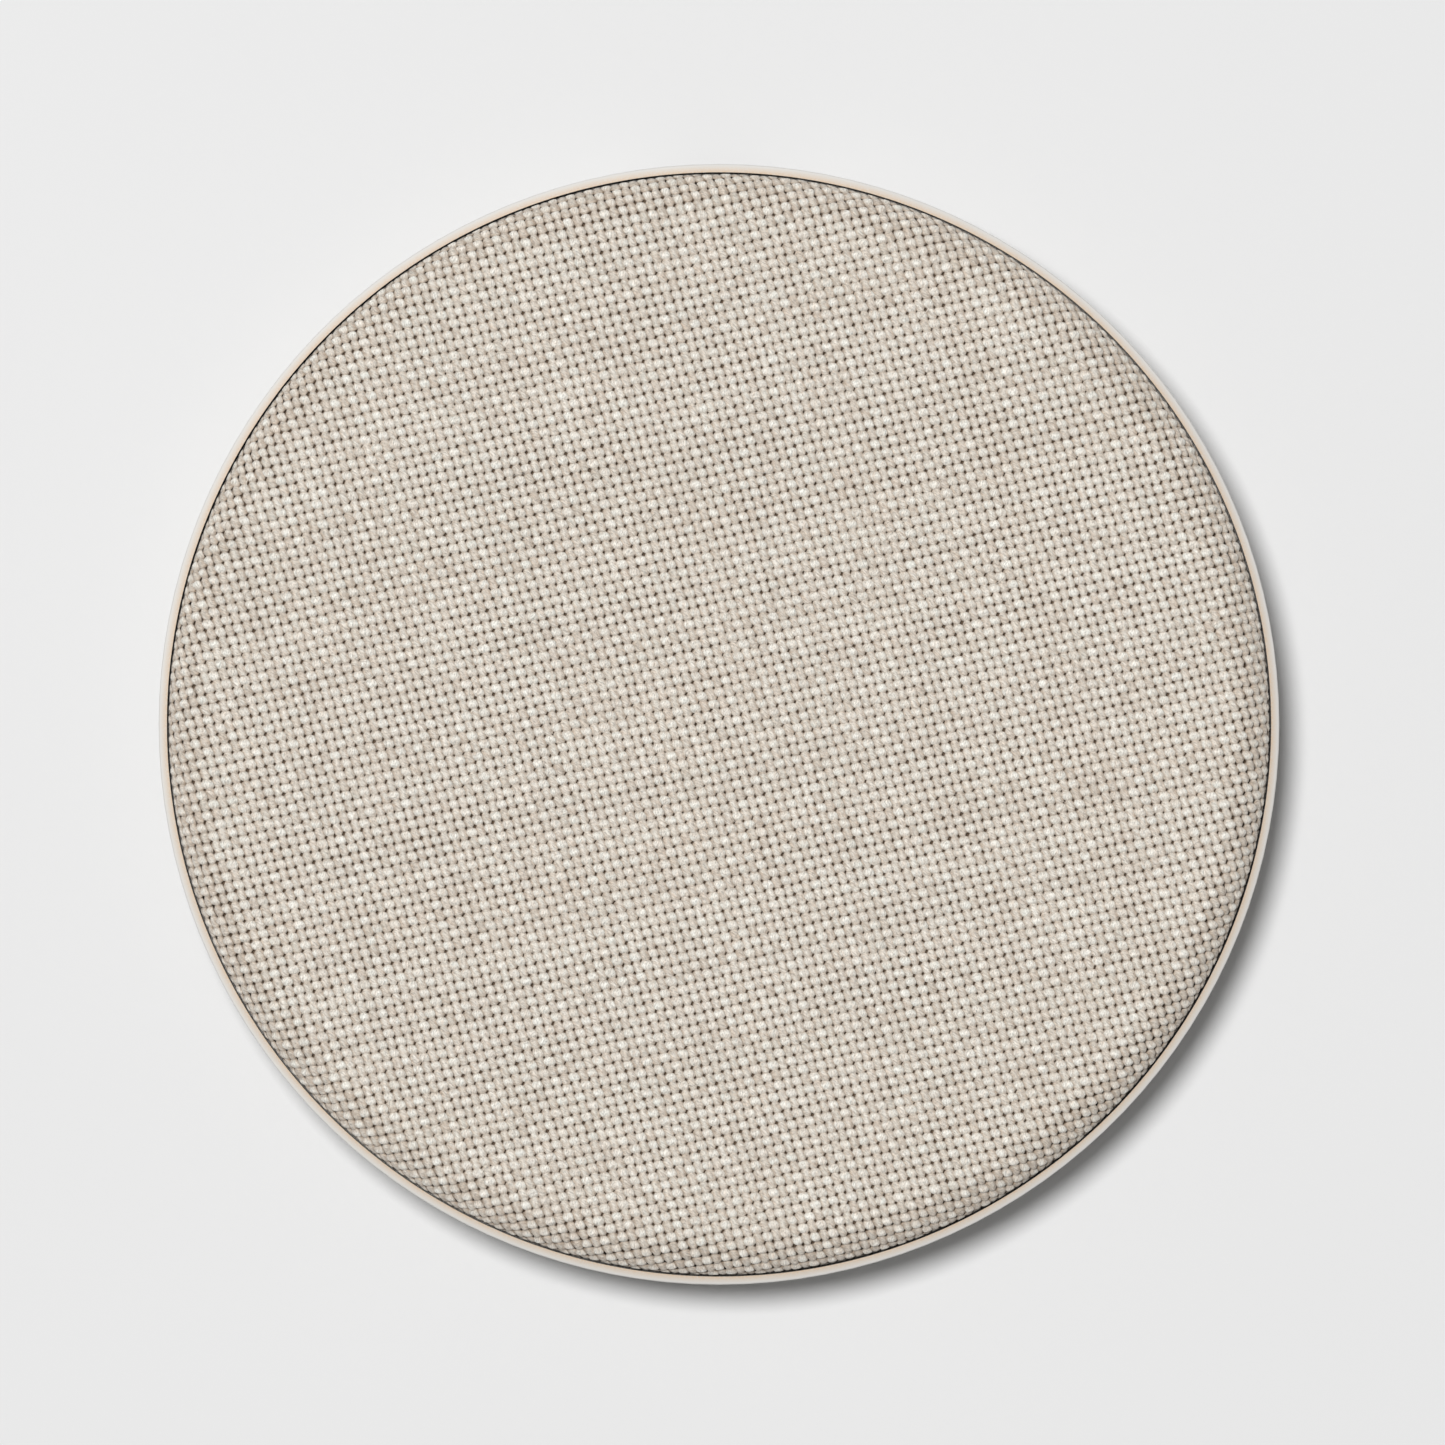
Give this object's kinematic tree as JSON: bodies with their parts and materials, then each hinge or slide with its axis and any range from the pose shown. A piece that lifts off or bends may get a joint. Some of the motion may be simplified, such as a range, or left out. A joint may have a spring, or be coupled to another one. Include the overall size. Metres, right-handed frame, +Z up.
{
  "type": "wireless charging pad",
  "caption": "Round wireless charging pad: a cloth-covered cap on a thin-rimmed moulded base with a silicone foot and a power inlet at the back.",
  "frame": {"origin": "centre of the circle that the foot ring stands on, on the table surface", "axes": "+Z up through the middle of the cloth face, +Y towards the power inlet at the back, +X to the right seen from above with the inlet at the top"},
  "size_m": [0.1, 0.1, 0.0118],
  "materials": {
    "base_plastic": "satin moulded plastic with a fine mineral speckle",
    "foot_silicone": "matt silicone",
    "adhesive_film": "translucent double-sided film",
    "label_film": "blank matt polyester film",
    "carrier_plastic": "as-moulded matt plastic",
    "woven_cloth": "plain weave of heathered cream and sand yarns",
    "screw_steel": "zinc-plated",
    "coil_copper": "enamelled stranded copper, satin",
    "ferrite": "sintered matt",
    "foam": "open-cell foam",
    "lead_enamel": "enamelled copper, gloss",
    "sensor_epoxy": "dipped epoxy",
    "board_laminate": "green solder mask over glass laminate",
    "inlet_steel": "nickel-plated",
    "inlet_plastic": "moulded liquid-crystal polymer",
    "contact_gold": "gold-plated",
    "chip_epoxy": "moulded epoxy",
    "capacitor_body": "fired ceramic",
    "led_lens": "clear epoxy over a white cup",
    "clear_plastic": "frosted clear acrylic"
  },
  "bodies": {
    "root": {"base_shell": "base_plastic", "foot_ring": "foot_silicone", "foot_tape": "adhesive_film", "base_label": "label_film", "top_carrier": "carrier_plastic", "cover_adhesive": "adhesive_film", "fabric_cover": "woven_cloth", "hem_tape": "adhesive_film", "cap_screws": "screw_steel", "coil_adhesive": "adhesive_film", "charging_coil": "coil_copper", "ferrite_adhesive": "adhesive_film", "ferrite_shield": "ferrite", "foam_pad": "foam", "coil_leads": "lead_enamel", "thermistor": "sensor_epoxy", "circuit_board": "board_laminate", "board_screws": "screw_steel", "usb_shell": "inlet_steel", "usb_tongue": "inlet_plastic", "usb_contacts": "contact_gold", "controller_chip": "chip_epoxy", "power_chips": "chip_epoxy", "resonant_capacitors": "capacitor_body", "filter_inductor": "ferrite", "small_components": "capacitor_body", "status_led": "led_lens", "light_pipe": "clear_plastic"}
  },
  "joints": []
}
